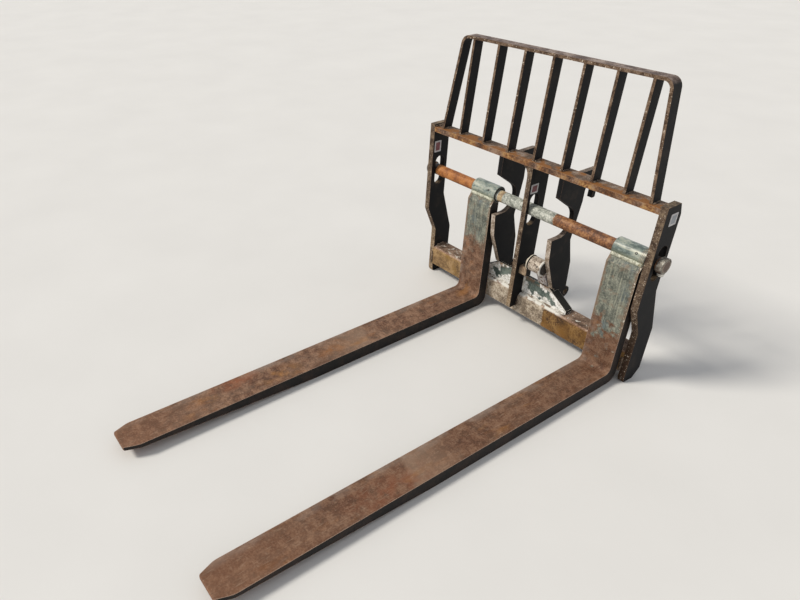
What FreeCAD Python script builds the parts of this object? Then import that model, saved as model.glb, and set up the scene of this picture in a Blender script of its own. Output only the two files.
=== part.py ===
import FreeCAD, Part
import math
import os

from FreeCAD import Vector

# Pallet fork carriage with two shaft-hung forks and a load backrest, standing on the ground.
# X runs across the carriage, Y runs back from the fork shanks, Z is up.
# The origin is on the ground, half-way across, at the front face of the shanks. Millimetres.

# Whole frame
CARRIAGE_WIDTH = 1072.0
CARRIAGE_TOP = 704.0     # top face of the top bar
SIDE_PLATE = 25.0
CUT_PAST = 1.0            # cutting tools run this far past a face

# Forks, one forging each: shank up, blade forward
FORK_LENGTH = 1600.0
FORK_WIDTH = 124.0
SHANK_THICKNESS = 45.0
BLADE_THICKNESS = 50.0
HEEL_RADIUS = 40.0
CROTCH_RADIUS = 22.0
TAPER_LENGTH = 750.0      # underside of the blade rises over this length
TAPER_BLEND = 300.0
TIP_THICKNESS = 14.0
TIP_NOSE = 5.0
TIP_CLIP = 18.0           # the tip is narrower by this much on each side
TIP_CLIP_LENGTH = 52.0
TIP_CLIP_RADIUS = 70.0
TIP_CORNER = 9.0
SIDE_FORK_GAP = 8.0       # right fork stands this far off the right side plate
HOOK_FORK_GAP = 9.0       # left fork stands this far off the left hook plate

# Fork shaft and the eyes that hang on it
SHAFT_DIAMETER = 45.0
SHAFT_HEIGHT = 508.0
SHAFT_SETBACK = 45.0
SHAFT_OVERHANG = 27.0
SHAFT_CHAMFER = 3.0
SHAFT_FLOAT = 40.0        # travel up and down from rest in the long slots
SLOT_PLAY = 2.0
EYE_PLAY = 3.0
EYE_SEAT = 0.3            # the shaft lies in the eyes' lower side, with this film of grease
EYE_WALL = 7.5
EYE_CHAMFER = 1.5
BEVEL_RUN = 16.0          # bevel on the shank head, in front of the eye
BEVEL_RISE = 26.0
WELD_ROOT = 0.2           # root gap under the saddle weld of the eyes

# Collars that keep the shaft in the slots
COLLAR_WALL = 5.5
COLLAR_WIDTH = 22.0
COLLAR_GAP = 4.0
COLLAR_CHAMFER = 1.5
BOLT_HEAD_ACROSS = 17.0
BOLT_HEAD_HEIGHT = 9.0
BOLT_SEAT_DEPTH = 5.0     # the head reaches this far up round the collar's curve

# Side plates: a deep strip on edge that kneels back above the beam
PLATE_DEPTH = 85.0
PLATE_RISE = 10.0         # it stands this much proud of the top bar
FOOT_DEPTH = 90.0
KNEE_TOP = 335.0
KNEE_LOW = 222.0
REAR_KNEE_TOP = 390.0
REAR_KNEE_LOW = 214.0
KNEE_SETBACK = 53.0
KNEE_RADIUS = 30.0
TOE_CHAMFER = 4.0         # front corner of the foot
TOE_RISE = 18.0
HEEL_CHAMFER = 34.0       # rear corner of the foot
FOOT_RADIUS = 8.0
HEAD_CHAMFER = 16.0
HEAD_CHAMFER_RISE = 40.0

# Cross members: flat bar on top, channel bent from plate below, open side down
TOP_BAR_DEPTH = 60.0
TOP_BAR_THICKNESS = 20.0
BEAM_DEPTH = 95.0
BEAM_HEIGHT = 86.0
BEAM_WALL = 10.0
BEAM_BEND = 22.0          # outside radius of the bends
BEAM_LOW = 47.0
BEAM_GAP = 0.5            # running gap between shank and beam

# Centre plate with its arched corner gusset and stop block
CENTRE_PLATE = 20.0
CENTRE_FRONT = 5.0
CENTRE_REAR = 104.0
CENTRE_LOW = 78.0
CENTRE_TOE_RADIUS = 6.0
GUSSET_REACH = 38.0
GUSSET_THICKNESS = 10.0
STOP_BLOCK_WIDTH = 36.0
STOP_BLOCK_DEPTH = 24.0
STOP_BLOCK_HEIGHT = 34.0
STOP_BLOCK_LOW = 238.0
STOP_BLOCK_SETBACK = 26.0

# Hook plates, which carry the coupler seats
HOOK_PLATE = 20.0
HOOK_SPACING = 280.0
HOOK_FRONT = 2.0
HOOK_LIP_SETBACK = 9.0    # the front edge leans back this much at the knee
HOOK_KNEE_TOP = 352.0
HOOK_KNEE_RADIUS = 14.0
RECESS_RADIUS = 62.0
RECESS_RAMP = 34.0        # degrees, slope of the recess roof towards the front
HOOK_WAIST_REAR = 117.0
HOOK_WAIST = 415.0
HOOK_REAR = 148.0
HOOK_REAR_KNEE = 312.0
SEAT_BORE = 51.0
SEAT_Y = 166.0
SEAT_Z = 606.0
SEAT_THROAT = 40.0        # the mouth is this far below the seat's centre
SEAT_NOSE_WALL = 18.0
SEAT_NOSE_RADIUS = 26.0
SEAT_LIP_RADIUS = 6.0
LOCK_BORE = 24.0
LOCK_Y = 157.0
LOCK_Z = 171.0
LOCK_LUG_WALL = 11.0
LUG_FOOT = 112.0          # the plate runs into the beam's rear face at this height

# Pin bush on the inner side of the right hook plate, with its web
BUSH_OUTSIDE = 60.0
BUSH_BORE = 34.0
BUSH_Y = 22.0
BUSH_Z = 312.0
BUSH_LENGTH = 58.0
PIN_PLAY = 0.2
PIN_TAIL = 14.0
PIN_FLANGE = 4.0
PIN_FLANGE_OVERLAP = 2.0  # the flange stands this far out past the bush
PIN_FLANGE_GAP = 5.0
WEB_WIDTH = 44.0
WEB_INSET = 6.0
WEB_THICKNESS = 10.0

# Apron between beam and hook plates, with a cheek behind each slanting edge
APRON_PLATE = 12.0
APRON_SETBACK = 24.0
APRON_HEIGHT = 80.0
APRON_FOOT_OVERHANG = 100.0
APRON_END = 16.0          # height of the short upright end
CHEEK_DEPTH = 38.0
CHEEK_THICKNESS = 10.0

# Load backrest: flat bars on edge, leaning back
RACK_BAR = 10.0
RACK_DEPTH = 44.0
RACK_FRONT = 9.0
RACK_HEIGHT = 364.0
RACK_LEAN = 20.0
RACK_FOOT_INSET = 59.0
RACK_HEAD_INSET = 49.0
RACK_CORNER = 34.0
RACK_OUTER_GAP = 97.0
RACK_FAN = 7.5            # the outermost bar's head stands this far further in than its foot
RACK_INNER_BARS = 7

# Places that follow from the sizes above
HALF_WIDTH = CARRIAGE_WIDTH / 2
PLATE_INNER_X = HALF_WIDTH - SIDE_PLATE
SHAFT_RADIUS = SHAFT_DIAMETER / 2
SHAFT_HALF = HALF_WIDTH + SHAFT_OVERHANG
EYE_BORE_RADIUS = SHAFT_RADIUS + EYE_PLAY
EYE_RADIUS = EYE_BORE_RADIUS + EYE_WALL
EYE_HEIGHT = SHAFT_HEIGHT + EYE_PLAY - EYE_SEAT
SLOT_RADIUS = SHAFT_RADIUS + SLOT_PLAY
SLOT_LOW = SHAFT_HEIGHT - SHAFT_FLOAT
SLOT_HIGH = SHAFT_HEIGHT + SHAFT_FLOAT
BAR_UNDERSIDE = CARRIAGE_TOP - TOP_BAR_THICKNESS
BEAM_FRONT = SHANK_THICKNESS + BEAM_GAP
BEAM_REAR = BEAM_FRONT + BEAM_DEPTH
BEAM_TOP = BEAM_LOW + BEAM_HEIGHT
APRON_FRONT = BEAM_FRONT + APRON_SETBACK
APRON_REAR = APRON_FRONT + APRON_PLATE
APRON_TOP = BEAM_TOP + APRON_HEIGHT
HOOK_INNER_X = HOOK_SPACING / 2 - HOOK_PLATE / 2
HOOK_OUTER_X = HOOK_SPACING / 2 + HOOK_PLATE / 2
APRON_FOOT_HALF = HOOK_INNER_X + APRON_FOOT_OVERHANG
APRON_SLOPE = math.atan2(APRON_HEIGHT - APRON_END, APRON_FOOT_OVERHANG)
BUSH_INNER_X = HOOK_INNER_X - BUSH_LENGTH
RIGHT_FORK_X = PLATE_INNER_X - SIDE_FORK_GAP - FORK_WIDTH / 2
LEFT_FORK_X = -(HOOK_OUTER_X + HOOK_FORK_GAP + FORK_WIDTH / 2)
RACK_TOP = CARRIAGE_TOP + RACK_HEIGHT
RACK_FOOT_HALF = HALF_WIDTH - RACK_FOOT_INSET
RACK_HEAD_HALF = RACK_FOOT_HALF - RACK_HEAD_INSET
RACK_PITCH = 2 * (RACK_FOOT_HALF - RACK_BAR / 2 - RACK_OUTER_GAP) / (RACK_INNER_BARS - 1)


def rounded_wire(corners, place):
    """Closed wire through (a, b, radius) corners, each joined by a tangent arc of its radius."""
    count = len(corners)
    stations = []
    for i, (a, b, radius) in enumerate(corners):
        before, after = corners[i - 1], corners[(i + 1) % count]
        here = Vector(a, b, 0)
        to_before = (Vector(before[0], before[1], 0) - here).normalize()
        to_after = (Vector(after[0], after[1], 0) - here).normalize()
        if radius <= 0:
            stations.append((here, None, here))
            continue
        half = to_before.getAngle(to_after) / 2
        reach = radius / math.tan(half)
        centre = here + (to_before + to_after).normalize() * (radius / math.sin(half))
        middle = centre + (here - centre).normalize() * radius
        stations.append((here + to_before * reach, middle, here + to_after * reach))
    edges = []
    for i, (start, middle, end) in enumerate(stations):
        if middle is not None:
            edges.append(Part.Arc(place(start), place(middle), place(end)).toShape())
        following = stations[(i + 1) % count][0]
        if end.distanceToPoint(following) > 1e-6:
            edges.append(Part.LineSegment(place(end), place(following)).toShape())
    return Part.Wire(edges)


def plate_across(corners, x_low, thickness):
    """Plate on edge: (y, z, radius) corners, thickness along X from x_low."""
    wire = rounded_wire(corners, lambda p: Vector(x_low, p.x, p.y))
    return Part.Face(wire).extrude(Vector(thickness, 0, 0))


def plate_facing(corners, y_low, thickness):
    """Plate facing forward: (x, z, radius) corners, thickness along Y from y_low."""
    wire = rounded_wire(corners, lambda p: Vector(p.x, y_low, p.y))
    return Part.Face(wire).extrude(Vector(0, thickness, 0))


def rod_across(radius, x_low, x_high, y, z):
    return Part.makeCylinder(radius, x_high - x_low, Vector(x_low, y, z), Vector(1, 0, 0))


def round_edges(shape):
    return [e for e in shape.Edges if isinstance(e.Curve, Part.Circle)]


def shaft_slot(x_low, thickness):
    """Upright long slot in which the fork shaft floats."""
    start, length = x_low - CUT_PAST, thickness + 2 * CUT_PAST
    middle = Part.makeBox(length, 2 * SLOT_RADIUS, SLOT_HIGH - SLOT_LOW,
                          Vector(start, SHAFT_SETBACK - SLOT_RADIUS, SLOT_LOW))
    ends = [rod_across(SLOT_RADIUS, start, start + length, SHAFT_SETBACK, z) for z in (SLOT_LOW, SLOT_HIGH)]
    return middle.fuse(ends).removeSplitter()


def side_plate(x_low):
    """Outer plate: strip on edge with a knee, so that its foot stands behind the beam's face."""
    rear_low = KNEE_SETBACK + FOOT_DEPTH
    toe = KNEE_SETBACK + TOE_CHAMFER
    head = CARRIAGE_TOP + PLATE_RISE
    corners = [
        (0, head, 0),
        (PLATE_DEPTH - HEAD_CHAMFER, head, 0),
        (PLATE_DEPTH, head - HEAD_CHAMFER_RISE, KNEE_RADIUS),
        (PLATE_DEPTH, REAR_KNEE_TOP, KNEE_RADIUS),
        (rear_low, REAR_KNEE_LOW, KNEE_RADIUS),
        (rear_low, HEEL_CHAMFER, FOOT_RADIUS),
        (rear_low - HEEL_CHAMFER, 0, FOOT_RADIUS),
        (toe, 0, FOOT_RADIUS),
        (KNEE_SETBACK, TOE_RISE, FOOT_RADIUS),
        (KNEE_SETBACK, KNEE_LOW, KNEE_RADIUS),
        (0, KNEE_TOP, KNEE_RADIUS),
    ]
    return plate_across(corners, x_low, SIDE_PLATE).cut(shaft_slot(x_low, SIDE_PLATE))


def beam_section(inset, foot):
    """Cross-section of the lower beam, inset from its outside and reaching down to foot."""
    low, high = BEAM_FRONT + inset, BEAM_REAR - inset
    top, radius = BEAM_TOP - inset, BEAM_BEND - inset
    return [(low, foot, 0), (high, foot, 0), (high, top, radius), (low, top, radius)]


def beam_space():
    """Everything inside the beam's outline, to fit the plates that stand over it."""
    return plate_across(beam_section(0, BEAM_LOW), -PLATE_INNER_X, 2 * PLATE_INNER_X)


def centre_plate():
    """Middle plate: full height, slotted for the shaft, cut out to sit over the beam."""
    x_low = -CENTRE_PLATE / 2
    corners = [
        (CENTRE_FRONT, BAR_UNDERSIDE, 0),
        (CENTRE_REAR, BAR_UNDERSIDE, 0),
        (CENTRE_REAR, CENTRE_LOW, 0),
        (CENTRE_FRONT, CENTRE_LOW, CENTRE_TOE_RADIUS),
    ]
    plate = plate_across(corners, x_low, CENTRE_PLATE)
    return plate.cut([shaft_slot(x_low, CENTRE_PLATE), beam_space()])


def corner_gusset():
    """Arched gusset in the corner between top bar and centre plate, on the left."""
    inner = -CENTRE_PLATE / 2
    corner = [(inner, BAR_UNDERSIDE, 0), (inner, BAR_UNDERSIDE - GUSSET_REACH, 0),
              (inner - GUSSET_REACH, BAR_UNDERSIDE - GUSSET_REACH, 0),
              (inner - GUSSET_REACH, BAR_UNDERSIDE, 0)]
    block = plate_facing(corner, CENTRE_FRONT, GUSSET_THICKNESS)
    arch = Part.makeCylinder(
        GUSSET_REACH - CUT_PAST, GUSSET_THICKNESS + 2 * CUT_PAST,
        Vector(inner - GUSSET_REACH, CENTRE_FRONT - CUT_PAST, BAR_UNDERSIDE - GUSSET_REACH),
        Vector(0, 1, 0))
    return block.cut(arch)


def stop_block():
    """Small block welded to the right face of the centre plate, in line below the bush."""
    return Part.makeBox(STOP_BLOCK_WIDTH, STOP_BLOCK_DEPTH, STOP_BLOCK_HEIGHT,
                        Vector(CENTRE_PLATE / 2, STOP_BLOCK_SETBACK, STOP_BLOCK_LOW))


def shaft_recess(x_low):
    """Recess open to the front: flat floor, round back, roof that ramps up towards the front."""
    floor = SLOT_LOW - SLOT_RADIUS
    centre_z = floor + RECESS_RADIUS
    ramp = math.radians(RECESS_RAMP)
    tangent = Vector(SHAFT_SETBACK + RECESS_RADIUS * math.sin(ramp),
                     centre_z + RECESS_RADIUS * math.cos(ramp), 0)
    ahead = HOOK_FRONT - RECESS_RADIUS
    roof_ahead = tangent.y + (tangent.x - ahead) * math.tan(ramp)
    outline = [(ahead, floor), (SHAFT_SETBACK, floor), (tangent.x, tangent.y), (ahead, roof_ahead)]
    points = [Vector(x_low - CUT_PAST, y, z) for y, z in outline]
    back = Vector(x_low - CUT_PAST, SHAFT_SETBACK + RECESS_RADIUS, centre_z)
    edges = [
        Part.LineSegment(points[0], points[1]).toShape(),
        Part.Arc(points[1], back, points[2]).toShape(),
        Part.LineSegment(points[2], points[3]).toShape(),
        Part.LineSegment(points[3], points[0]).toShape(),
    ]
    return Part.Face(Part.Wire(edges)).extrude(Vector(HOOK_PLATE + 2 * CUT_PAST, 0, 0))


def hook_plate(x_centre):
    """Coupler plate: recess round the shaft, hooked seat behind, lug with the lock bore low down."""
    x_low = x_centre - HOOK_PLATE / 2
    x_past, x_length = x_low - CUT_PAST, HOOK_PLATE + 2 * CUT_PAST
    seat_radius = SEAT_BORE / 2
    nose_rear = SEAT_Y + seat_radius + SEAT_NOSE_WALL
    seat_mouth = SEAT_Z - SEAT_THROAT
    lug = LOCK_BORE / 2 + LOCK_LUG_WALL
    corners = [
        (HOOK_FRONT, BAR_UNDERSIDE, 0),
        (nose_rear, BAR_UNDERSIDE, SEAT_NOSE_RADIUS),
        (nose_rear, seat_mouth, SEAT_LIP_RADIUS),
        (SEAT_Y + seat_radius, seat_mouth, SEAT_LIP_RADIUS / 2),
        (SEAT_Y + seat_radius, SEAT_Z, 0),
        (SEAT_Y - seat_radius, SEAT_Z, 0),
        (SEAT_Y - seat_radius, seat_mouth, 0),
        (HOOK_WAIST_REAR, HOOK_WAIST, KNEE_RADIUS),
        (HOOK_REAR, HOOK_REAR_KNEE, KNEE_RADIUS),
        (LOCK_Y, LOCK_Z, 0),
        (LOCK_Y, LOCK_Z - lug, 0),
        (BEAM_REAR, LUG_FOOT, 0),
        (APRON_REAR, LUG_FOOT, 0),
        (APRON_REAR, APRON_TOP, 0),
        (APRON_FRONT, APRON_TOP, 0),
        (HOOK_FRONT + HOOK_LIP_SETBACK, HOOK_KNEE_TOP, HOOK_KNEE_RADIUS),
        (HOOK_FRONT, SLOT_LOW - SLOT_RADIUS, 0),
    ]
    plate = plate_across(corners, x_low, HOOK_PLATE)
    plate = plate.fuse(rod_across(lug, x_low, x_low + HOOK_PLATE, LOCK_Y, LOCK_Z))
    seat = rod_across(seat_radius, x_past, x_past + x_length, SEAT_Y, SEAT_Z)
    lock = rod_across(LOCK_BORE / 2, x_past, x_past + x_length, LOCK_Y, LOCK_Z)
    return plate.cut([shaft_recess(x_low), seat, lock, beam_space()]).removeSplitter()


def pin_bush():
    """Bush welded to the inner face of the right hook plate, half in front of its sloping edge."""
    outer = rod_across(BUSH_OUTSIDE / 2, BUSH_INNER_X, HOOK_INNER_X, BUSH_Y, BUSH_Z)
    bore = rod_across(BUSH_BORE / 2, BUSH_INNER_X - CUT_PAST, HOOK_INNER_X + CUT_PAST, BUSH_Y, BUSH_Z)
    return outer.cut(bore)


def bush_pin():
    """Flanged pin that sits in the bush and sticks out towards the centre plate."""
    radius = BUSH_BORE / 2 - PIN_PLAY
    flange_high = BUSH_INNER_X - PIN_FLANGE_GAP
    flange_low = flange_high - PIN_FLANGE
    rod = rod_across(radius, flange_low - PIN_TAIL, HOOK_INNER_X, BUSH_Y, BUSH_Z)
    rod = rod.makeChamfer(SHAFT_CHAMFER, [e for e in round_edges(rod)
                                          if e.BoundBox.XMax < flange_low])
    flange = rod_across(BUSH_OUTSIDE / 2 + PIN_FLANGE_OVERLAP, flange_low, flange_high, BUSH_Y, BUSH_Z)
    return rod.fuse(flange).removeSplitter()


def bush_web():
    """Leaning web that carries the bush from the apron's top edge."""
    z_low, z_high = APRON_TOP, BUSH_Z
    corners = [(APRON_FRONT, z_low, 0), (APRON_FRONT + WEB_THICKNESS, z_low, 0),
               (BUSH_Y + WEB_THICKNESS, z_high, 0), (BUSH_Y, z_high, 0)]
    x_low = HOOK_INNER_X - WEB_INSET - WEB_WIDTH
    web = plate_across(corners, x_low, WEB_WIDTH)
    saddle = rod_across(BUSH_OUTSIDE / 2, x_low - CUT_PAST, HOOK_INNER_X, BUSH_Y, BUSH_Z)
    return max(web.cut(saddle).Solids, key=lambda s: s.Volume)


def apron(side):
    """Half of the trapezoid apron on one side of the centre plate, with the cheek behind its slope."""
    inner, end_top = CENTRE_PLATE / 2, BEAM_TOP + APRON_END
    face = [(inner, BEAM_TOP), (APRON_FOOT_HALF, BEAM_TOP), (APRON_FOOT_HALF, end_top),
            (HOOK_INNER_X, APRON_TOP), (inner, APRON_TOP)]
    drop = CHEEK_THICKNESS / math.cos(APRON_SLOPE)
    head = APRON_TOP - HOOK_PLATE * math.tan(APRON_SLOPE)
    cheek = [(APRON_FOOT_HALF, end_top - drop), (APRON_FOOT_HALF, end_top),
             (HOOK_OUTER_X, head), (HOOK_OUTER_X, head - drop)]
    parts = [plate_facing([(side * x, z, 0) for x, z in outline], APRON_FRONT, depth)
             for outline, depth in ((face, APRON_PLATE), (cheek, CHEEK_DEPTH))]
    return parts[0].fuse(parts[1]).removeSplitter()


def top_bar():
    return Part.makeBox(2 * PLATE_INNER_X, TOP_BAR_DEPTH, TOP_BAR_THICKNESS,
                        Vector(-PLATE_INNER_X, 0, BAR_UNDERSIDE))


def lower_beam():
    """Channel with its open side down, between the side plates, which close its ends."""
    hollow = plate_across(beam_section(BEAM_WALL, BEAM_LOW - CUT_PAST),
                          -PLATE_INNER_X - CUT_PAST, 2 * (PLATE_INNER_X + CUT_PAST))
    return beam_space().cut(hollow)


def rack_piece(corners):
    """Backrest piece: (x, z, radius) corners, within the leaning side view of the backrest."""
    rear = RACK_FRONT + RACK_DEPTH
    side_view = [(RACK_FRONT, CARRIAGE_TOP, 0), (rear, CARRIAGE_TOP, 0),
                 (rear + RACK_LEAN, RACK_TOP, 0), (RACK_FRONT + RACK_LEAN, RACK_TOP, 0)]
    block = plate_facing(corners, RACK_FRONT, RACK_DEPTH + RACK_LEAN)
    return block.common(plate_across(side_view, -HALF_WIDTH, CARRIAGE_WIDTH))


def rack_frame():
    """Outer hoop of the backrest: one flat bar bent at the two top corners."""
    def outline(inset, foot, radius):
        top = RACK_TOP - inset
        return [(-RACK_FOOT_HALF + inset, foot, 0), (-RACK_HEAD_HALF + inset, top, radius),
                (RACK_HEAD_HALF - inset, top, radius), (RACK_FOOT_HALF - inset, foot, 0)]

    outer = rack_piece(outline(0, CARRIAGE_TOP, RACK_CORNER))
    inner = outline(RACK_BAR, CARRIAGE_TOP - CUT_PAST, RACK_CORNER - RACK_BAR)
    return outer.cut(plate_facing(inner, RACK_FRONT - CUT_PAST, RACK_DEPTH + RACK_LEAN + 2 * CUT_PAST))


def rack_bar(index):
    """One upright bar of the backrest, ending under the hoop."""
    place = index - (RACK_INNER_BARS - 1) / 2
    foot = place * RACK_PITCH
    head = foot - RACK_FAN * 2 * place / (RACK_INNER_BARS - 1)
    half, top = RACK_BAR / 2, RACK_TOP - RACK_BAR
    return rack_piece([(foot - half, CARRIAGE_TOP, 0), (foot + half, CARRIAGE_TOP, 0),
                       (head + half, top, 0), (head - half, top, 0)])


def fork_shaft():
    shaft = rod_across(SHAFT_RADIUS, -SHAFT_HALF, SHAFT_HALF, SHAFT_SETBACK, SHAFT_HEIGHT)
    return shaft.makeChamfer(SHAFT_CHAMFER, round_edges(shaft))


def collar_span(side):
    inner = HALF_WIDTH + COLLAR_GAP
    return sorted([side * inner, side * (inner + COLLAR_WIDTH)])


def shaft_collar(side):
    low, high = collar_span(side)
    ring = rod_across(SHAFT_RADIUS + COLLAR_WALL, low, high, SHAFT_SETBACK, SHAFT_HEIGHT)
    ring = ring.makeChamfer(COLLAR_CHAMFER, round_edges(ring))
    return ring.cut(rod_across(SHAFT_RADIUS, low - CUT_PAST, high + CUT_PAST, SHAFT_SETBACK, SHAFT_HEIGHT))


def collar_bolt(side):
    """Hexagon head of the bolt that clamps a collar, on its underside."""
    low, high = collar_span(side)
    x, radius = (low + high) / 2, BOLT_HEAD_ACROSS / math.sqrt(3)
    underside = SHAFT_HEIGHT - SHAFT_RADIUS - COLLAR_WALL
    z_low = underside - BOLT_HEAD_HEIGHT
    points = [Vector(x + radius * math.cos(math.radians(60 * k)),
                     SHAFT_SETBACK + radius * math.sin(math.radians(60 * k)), z_low) for k in range(6)]
    height = BOLT_HEAD_HEIGHT + BOLT_SEAT_DEPTH
    head = Part.Face(Part.makePolygon(points + points[:1])).extrude(Vector(0, 0, height))
    return head.cut(rod_across(SHAFT_RADIUS + COLLAR_WALL, low - CUT_PAST, high + CUT_PAST,
                               SHAFT_SETBACK, SHAFT_HEIGHT))


def fork(x_centre):
    """Forged fork: shank with bevelled head, round heel, blade tapered below to a clipped tip."""
    x_low, x_high = x_centre - FORK_WIDTH / 2, x_centre + FORK_WIDTH / 2
    shank_head = EYE_HEIGHT - math.sqrt(EYE_RADIUS ** 2 - (SHAFT_SETBACK - BEVEL_RUN) ** 2)
    corners = [
        (0, BLADE_THICKNESS, CROTCH_RADIUS),
        (0, shank_head - BEVEL_RISE, 0),
        (BEVEL_RUN, shank_head, 0),
        (SHANK_THICKNESS, shank_head, 0),
        (SHANK_THICKNESS, 0, HEEL_RADIUS),
        (TAPER_LENGTH - FORK_LENGTH, 0, TAPER_BLEND),
        (-FORK_LENGTH, BLADE_THICKNESS - TIP_THICKNESS, TIP_NOSE),
        (-FORK_LENGTH, BLADE_THICKNESS, TIP_NOSE),
    ]
    side_view = plate_across(corners, x_low, FORK_WIDTH)
    rear, clip_y = SHANK_THICKNESS + CUT_PAST, TIP_CLIP_LENGTH - FORK_LENGTH
    plan = [(x_low, rear, 0), (x_high, rear, 0), (x_high, clip_y, TIP_CLIP_RADIUS),
            (x_high - TIP_CLIP, -FORK_LENGTH, TIP_CORNER), (x_low + TIP_CLIP, -FORK_LENGTH, TIP_CORNER),
            (x_low, clip_y, TIP_CLIP_RADIUS)]
    plan_wire = rounded_wire(plan, lambda p: Vector(p.x, p.y, -CUT_PAST))
    body = side_view.common(Part.Face(plan_wire).extrude(Vector(0, 0, EYE_HEIGHT)))
    saddle = rod_across(EYE_RADIUS + WELD_ROOT, x_low - CUT_PAST, x_high + CUT_PAST,
                        SHAFT_SETBACK, EYE_HEIGHT)
    return body.cut(saddle)


def fork_eye(x_centre):
    """Tube that hangs the fork on the shaft."""
    x_low, x_high = x_centre - FORK_WIDTH / 2, x_centre + FORK_WIDTH / 2
    tube = rod_across(EYE_RADIUS, x_low, x_high, SHAFT_SETBACK, EYE_HEIGHT)
    tube = tube.makeChamfer(EYE_CHAMFER, round_edges(tube))
    bore = rod_across(EYE_BORE_RADIUS, x_low - CUT_PAST, x_high + CUT_PAST, SHAFT_SETBACK, EYE_HEIGHT)
    return tube.cut(bore)


def build():
    shapes = {
        "top_bar": top_bar(),
        "lower_beam": lower_beam(),
        "centre_plate": centre_plate(),
        "corner_gusset": corner_gusset(),
        "stop_block": stop_block(),
        "pin_bush": pin_bush(),
        "bush_pin": bush_pin(),
        "bush_web": bush_web(),
        "rack_frame": rack_frame(),
        "fork_shaft": fork_shaft(),
    }
    for name, side, fork_x in (("left", -1, LEFT_FORK_X), ("right", 1, RIGHT_FORK_X)):
        plate_x = min(side * PLATE_INNER_X, side * HALF_WIDTH)
        shapes["side_plate_" + name] = side_plate(plate_x)
        shapes["hook_plate_" + name] = hook_plate(side * HOOK_SPACING / 2)
        shapes["apron_" + name] = apron(side)
        shapes["shaft_collar_" + name] = shaft_collar(side)
        shapes["collar_bolt_" + name] = collar_bolt(side)
        shapes["fork_" + name] = fork(fork_x)
        shapes["fork_eye_" + name] = fork_eye(fork_x)
    for index in range(RACK_INNER_BARS):
        shapes["rack_bar_" + str(index + 1)] = rack_bar(index)
    return shapes


os.makedirs("parts", exist_ok=True)
for node, shape in build().items():
    if len(shape.Solids) != 1 or not shape.isValid():
        raise ValueError("not one sound solid: " + node)
    shape.Solids[0].exportStep("parts/" + node + ".step")
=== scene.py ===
import math

import bmesh
import bpy
from mathutils import Matrix, Vector


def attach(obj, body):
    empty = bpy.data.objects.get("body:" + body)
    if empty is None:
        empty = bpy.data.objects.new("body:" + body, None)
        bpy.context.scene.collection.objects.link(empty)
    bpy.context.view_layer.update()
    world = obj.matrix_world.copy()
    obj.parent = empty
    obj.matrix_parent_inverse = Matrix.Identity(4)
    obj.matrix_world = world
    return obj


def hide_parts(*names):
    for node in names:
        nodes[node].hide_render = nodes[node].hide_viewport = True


# Pallet fork carriage: a welded frame with a barred load backrest, a floating cross shaft and
# two forged forks that hang on it. Metres, X across, Y back from the fork shanks, Z up.
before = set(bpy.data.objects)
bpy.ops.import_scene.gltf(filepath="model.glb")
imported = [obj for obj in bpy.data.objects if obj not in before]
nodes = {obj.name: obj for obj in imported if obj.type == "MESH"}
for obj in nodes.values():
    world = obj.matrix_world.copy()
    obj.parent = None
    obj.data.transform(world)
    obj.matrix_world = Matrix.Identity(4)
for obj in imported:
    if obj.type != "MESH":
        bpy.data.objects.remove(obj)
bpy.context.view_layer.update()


# Viewpoint. A person of ordinary height stands in front and to the right of the forks and looks
# down on them with a wide lens, a little off level.
EYE_PLACE = (1.4502, -1.8761, 1.5526)
EYE_TURN, EYE_DIP, EYE_ROLL = 56.04, 35.06, -1.22
LENS_MM, SENSOR_MM = 28.93, 36.0
SHIFT_RIGHT, SHIFT_UP = 0.0890, 0.0390
SEES_FROM, SEES_TO = 0.05, 100.0

view_data = bpy.data.cameras.new("viewpoint")
view_data.sensor_width = SENSOR_MM
view_data.lens = LENS_MM
view_data.shift_x, view_data.shift_y = SHIFT_RIGHT, SHIFT_UP
view_data.clip_start, view_data.clip_end = SEES_FROM, SEES_TO
viewpoint = bpy.data.objects.new("viewpoint", view_data)
bpy.context.scene.collection.objects.link(viewpoint)
viewpoint.matrix_world = (
    Matrix.Translation(EYE_PLACE)
    @ Matrix.Rotation(math.radians(EYE_TURN), 4, "Z")
    @ Matrix.Rotation(math.radians(90 - EYE_DIP), 4, "X")
    @ Matrix.Rotation(math.radians(EYE_ROLL), 4, "Z")
)
bpy.context.scene.camera = viewpoint
bpy.context.scene.view_settings.view_transform = "Standard"


# Studio. A pale matt floor, an even white surround, and one broad soft key light high on the
# front left, so that front edges are lit and right-hand faces fall into shade.
def linear(code, alpha=1.0):
    """Linear colour of an sRGB hex code such as 7c6456."""
    parts = [int(code[i:i + 2], 16) / 255 for i in (0, 2, 4)]
    return tuple(c / 12.92 if c <= 0.04045 else ((c + 0.055) / 1.055) ** 2.4 for c in parts) + (alpha,)


def feed(tree, socket, value):
    """Sets an input or links it. A node stands for its colour, or else for its first output."""
    if isinstance(value, bpy.types.Node):
        value = value.outputs[2 if getattr(value, "data_type", "") == "RGBA" else 0]
    if isinstance(value, bpy.types.NodeSocket):
        tree.links.new(value, socket)
    else:
        socket.default_value = linear(value) if isinstance(value, str) else value


def add(tree, kind, inputs=None, stops=None, **settings):
    """Adds one shader node with its settings, its ramp's stops and its inputs."""
    made = tree.nodes.new("ShaderNode" + kind)
    for name, value in settings.items():
        setattr(made, name, value)
    if stops:
        ramp = made.color_ramp
        for place, _ in stops[1:-1]:
            ramp.elements.new(place)
        ramp.elements[0].position, ramp.elements[-1].position = stops[0][0], stops[-1][0]
        for element, (_, colour) in zip(ramp.elements, stops):
            element.color = linear(colour) if isinstance(colour, str) else (colour,) * 3 + (1.0,)
    for name, value in (inputs or {}).items():
        feed(tree, made.inputs[name], value)
    return made


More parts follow.
